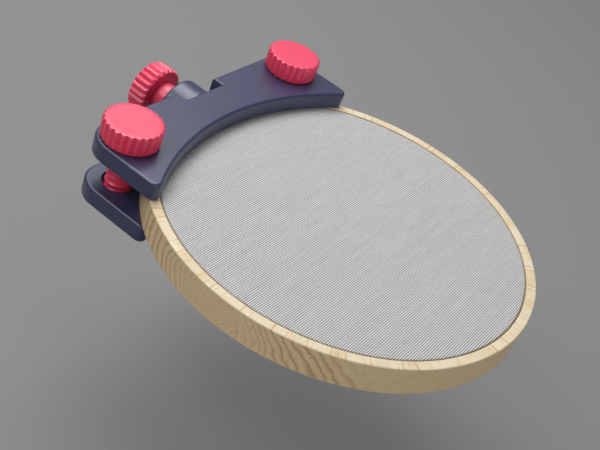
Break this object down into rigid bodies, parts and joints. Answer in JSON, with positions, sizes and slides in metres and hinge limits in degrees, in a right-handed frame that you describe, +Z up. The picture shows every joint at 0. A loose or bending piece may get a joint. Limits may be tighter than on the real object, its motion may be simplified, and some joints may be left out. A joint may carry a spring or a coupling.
{
  "type": "embroidery hoop stand",
  "caption": "Clamp head of an embroidery stand gripping a round wooden hoop with taut cloth, closed by fluted thumb screws and pivoting on its stand.",
  "frame": {"origin": "on the axis of the stand pivot, at the middle of the plain collar that the stand's eye goes round", "axes": "+Z up out of the cloth's face, +Y along the pivot axis away from the hoop, +X along the jaws to the right-hand thumb screw"},
  "size_m": [0.162, 0.1895, 0.0369],
  "materials": {
    "navy_plastic": "satin moulded plastic, dark blue-grey",
    "pink_plastic": "satin moulded plastic, coral pink",
    "hoop_wood": "sanded pale softwood, clear wax",
    "woven_cloth": "taut plain cloth, light grey with fine darker lines",
    "clasp_brass": "bright pressed and turned brass"
  },
  "bodies": {
    "clamp_base": {"lower_jaw": "navy_plastic"},
    "top_jaw": {"upper_jaw": "navy_plastic"},
    "left_thumb_screw": {"clamp_screw_left": "pink_plastic", "clamp_knob_left": "pink_plastic"},
    "right_thumb_screw": {"clamp_screw_right": "pink_plastic", "clamp_knob_right": "pink_plastic"},
    "pivot_stud": {"pivot_screw": "pink_plastic"},
    "pivot_head": {"pivot_knob": "pink_plastic"},
    "hoop": {"outer_ring": "hoop_wood", "inner_ring": "hoop_wood", "cloth": "woven_cloth", "clasp_left": "clasp_brass", "clasp_right": "clasp_brass", "clasp_tacks": "clasp_brass", "tension_nut": "clasp_brass"},
    "hoop_screw": {"tension_screw": "clasp_brass"}
  },
  "joints": [
    {"name": "jaw_lift", "type": "slide", "parent": "clamp_base", "child": "top_jaw", "axis": [0, 0, 1], "range_m": [0, 0.0046]},
    {"name": "left_screw_turn", "type": "hinge", "parent": "top_jaw", "child": "left_thumb_screw", "pos_m": [-0.0527, -0.0232, 0.0064], "axis": [0, 0, 1], "range_deg": [0, 540]},
    {"name": "right_screw_turn", "type": "hinge", "parent": "top_jaw", "child": "right_thumb_screw", "pos_m": [0.0527, -0.0232, 0.0064], "axis": [0, 0, 1], "range_deg": [0, 541]},
    {"name": "pivot_screw_slide", "type": "slide", "parent": "clamp_base", "child": "pivot_stud", "axis": [0, 1, 0], "range_m": [0, 0.0101]},
    {"name": "pivot_knob_turn", "type": "hinge", "parent": "pivot_stud", "child": "pivot_head", "pos_m": [0, 0, 0], "axis": [0, 1, 0], "range_deg": [0, 1200]},
    {"name": "hoop_slide", "type": "slide", "parent": "clamp_base", "child": "hoop", "axis": [0, -1, 0], "range_m": [0, 0.045]},
    {"name": "tension_screw_turn", "type": "hinge", "parent": "hoop", "child": "hoop_screw", "pos_m": [0.03019, -0.01526, 0], "axis": [-0.9367, 0.3502, 0], "range_deg": [0, 1080]}
  ],
  "couplings": [
    {"joint": "jaw_lift", "follows": "left_screw_turn", "m_per_rad": 0.00047746},
    {"joint": "right_screw_turn", "follows": "left_screw_turn", "ratio": 1},
    {"joint": "pivot_screw_slide", "follows": "pivot_knob_turn", "m_per_rad": 0.00047746}
  ]
}
